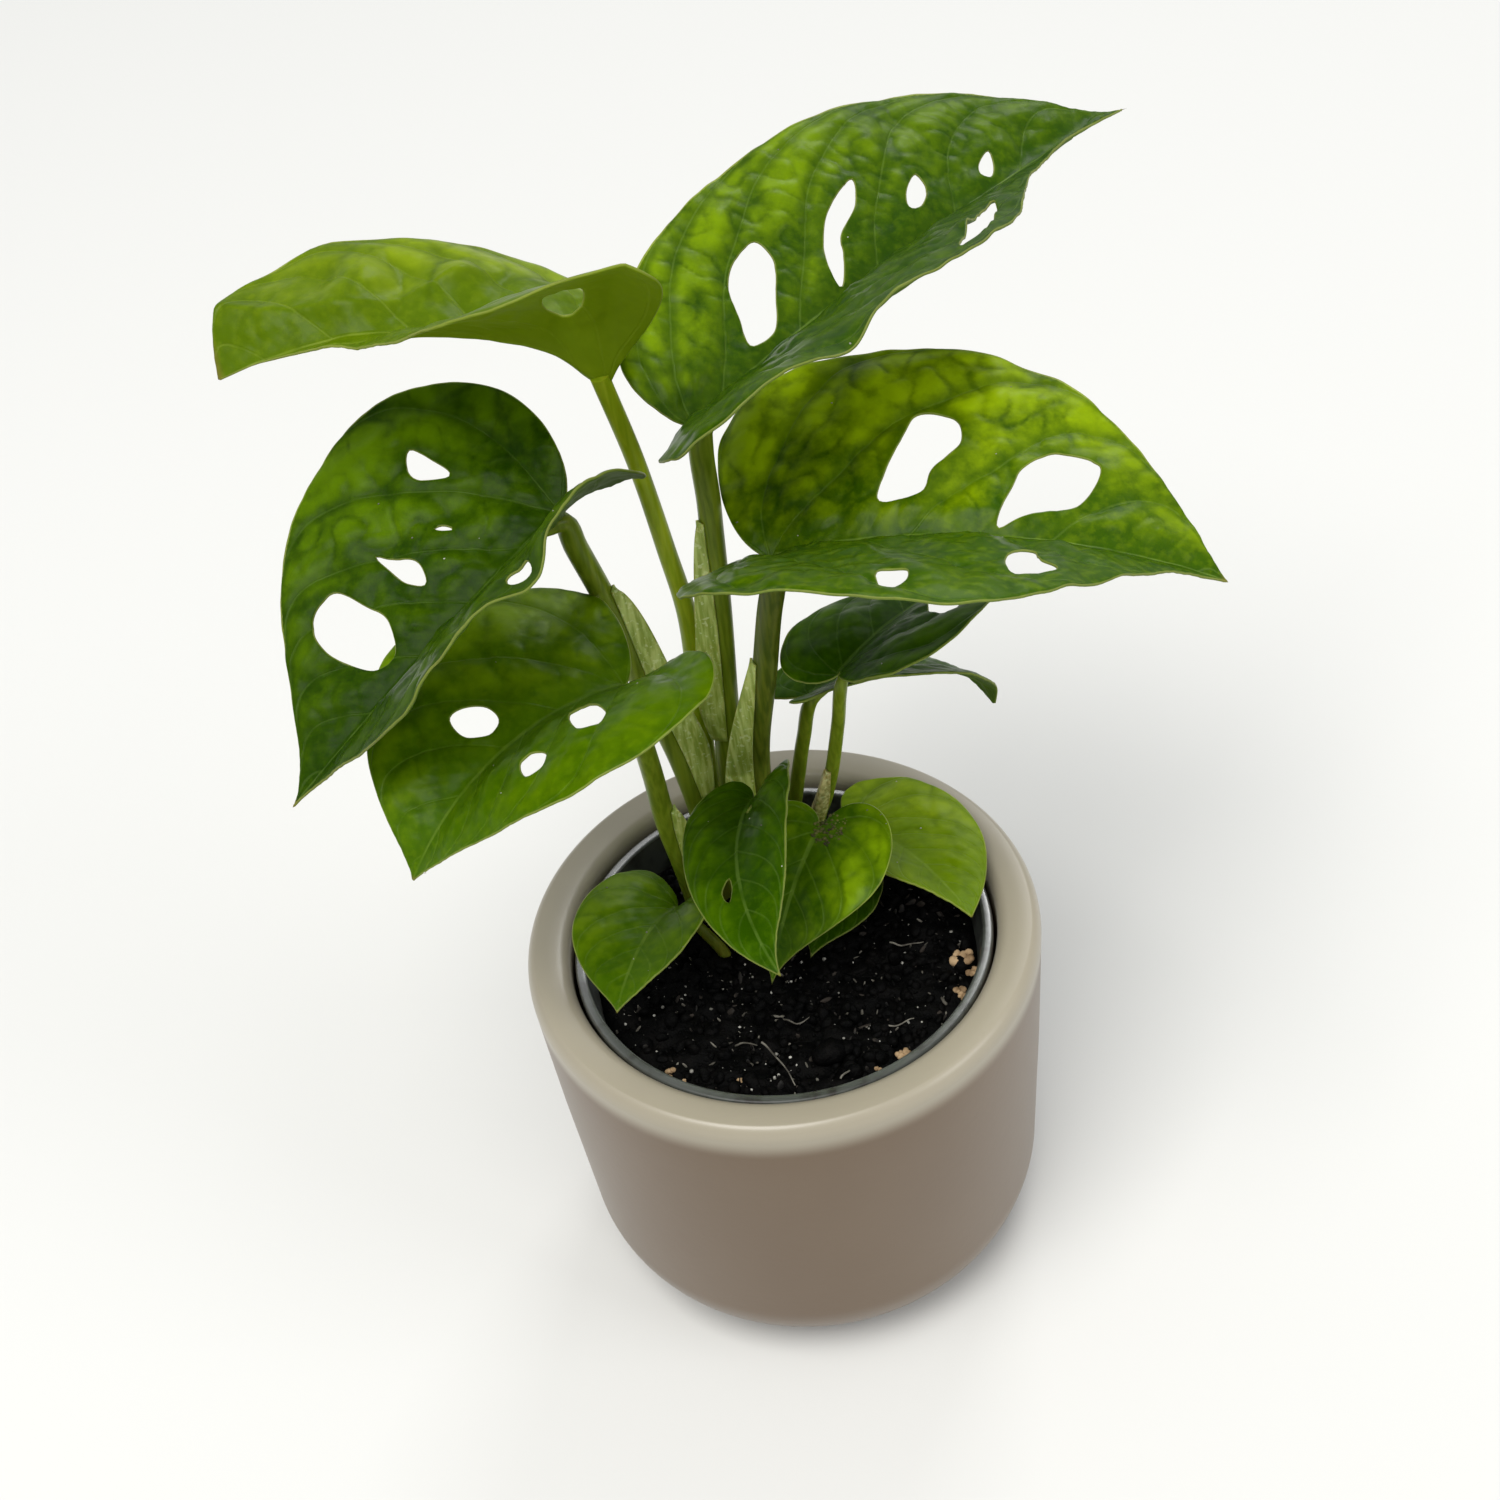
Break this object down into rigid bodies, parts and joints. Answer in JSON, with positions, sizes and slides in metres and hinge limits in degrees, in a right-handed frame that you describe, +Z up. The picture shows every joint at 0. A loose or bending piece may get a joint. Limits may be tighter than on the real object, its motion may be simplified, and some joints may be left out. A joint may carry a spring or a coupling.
{
  "type": "potted swiss cheese vine",
  "caption": "Young aroid vine with perforated leaves on upright stalks, rooted in a clear nursery pot that stands in a round-bottomed ceramic cup.",
  "frame": {"origin": "middle of the cup's underside, on the surface it stands on", "axes": "+Z up along the cup's axis, -Y towards the viewer, +X to the viewer's right"},
  "size_m": [0.1325, 0.1111, 0.1807],
  "materials": {
    "cup_glaze": "satin taupe glaze",
    "clear_plastic": "thin clear plastic, greyed",
    "peat": "damp crumbly peat with perlite specks",
    "leaf": "glossy living leaf",
    "stalk": "smooth living stalk",
    "sheath": "pale papery sheath"
  },
  "bodies": {
    "root": {"ceramic_cup": "cup_glaze", "nursery_pot": "clear_plastic", "soil": "peat", "blade_top_right": "leaf", "blade_right": "leaf", "blade_top_left": "leaf", "blade_left": "leaf", "blade_lower_left": "leaf", "blade_small_right": "leaf", "blade_small_back": "leaf", "blade_centre": "leaf", "blade_heart": "leaf", "blade_round_right": "leaf", "blade_round_left": "leaf", "blade_low": "leaf", "stalk_top_right": "stalk", "stalk_right": "stalk", "stalk_top_left": "stalk", "stalk_left": "stalk", "stalk_lower_left": "stalk", "stalk_small_right": "stalk", "stalk_small_back": "stalk", "stalk_centre": "stalk", "stalk_heart": "stalk", "stalk_round_right": "stalk", "stalk_round_left": "stalk", "stalk_low": "stalk", "sheath_top_right": "sheath", "sheath_right": "sheath", "sheath_left": "sheath", "sheath_lower_left": "sheath"}
  },
  "joints": []
}
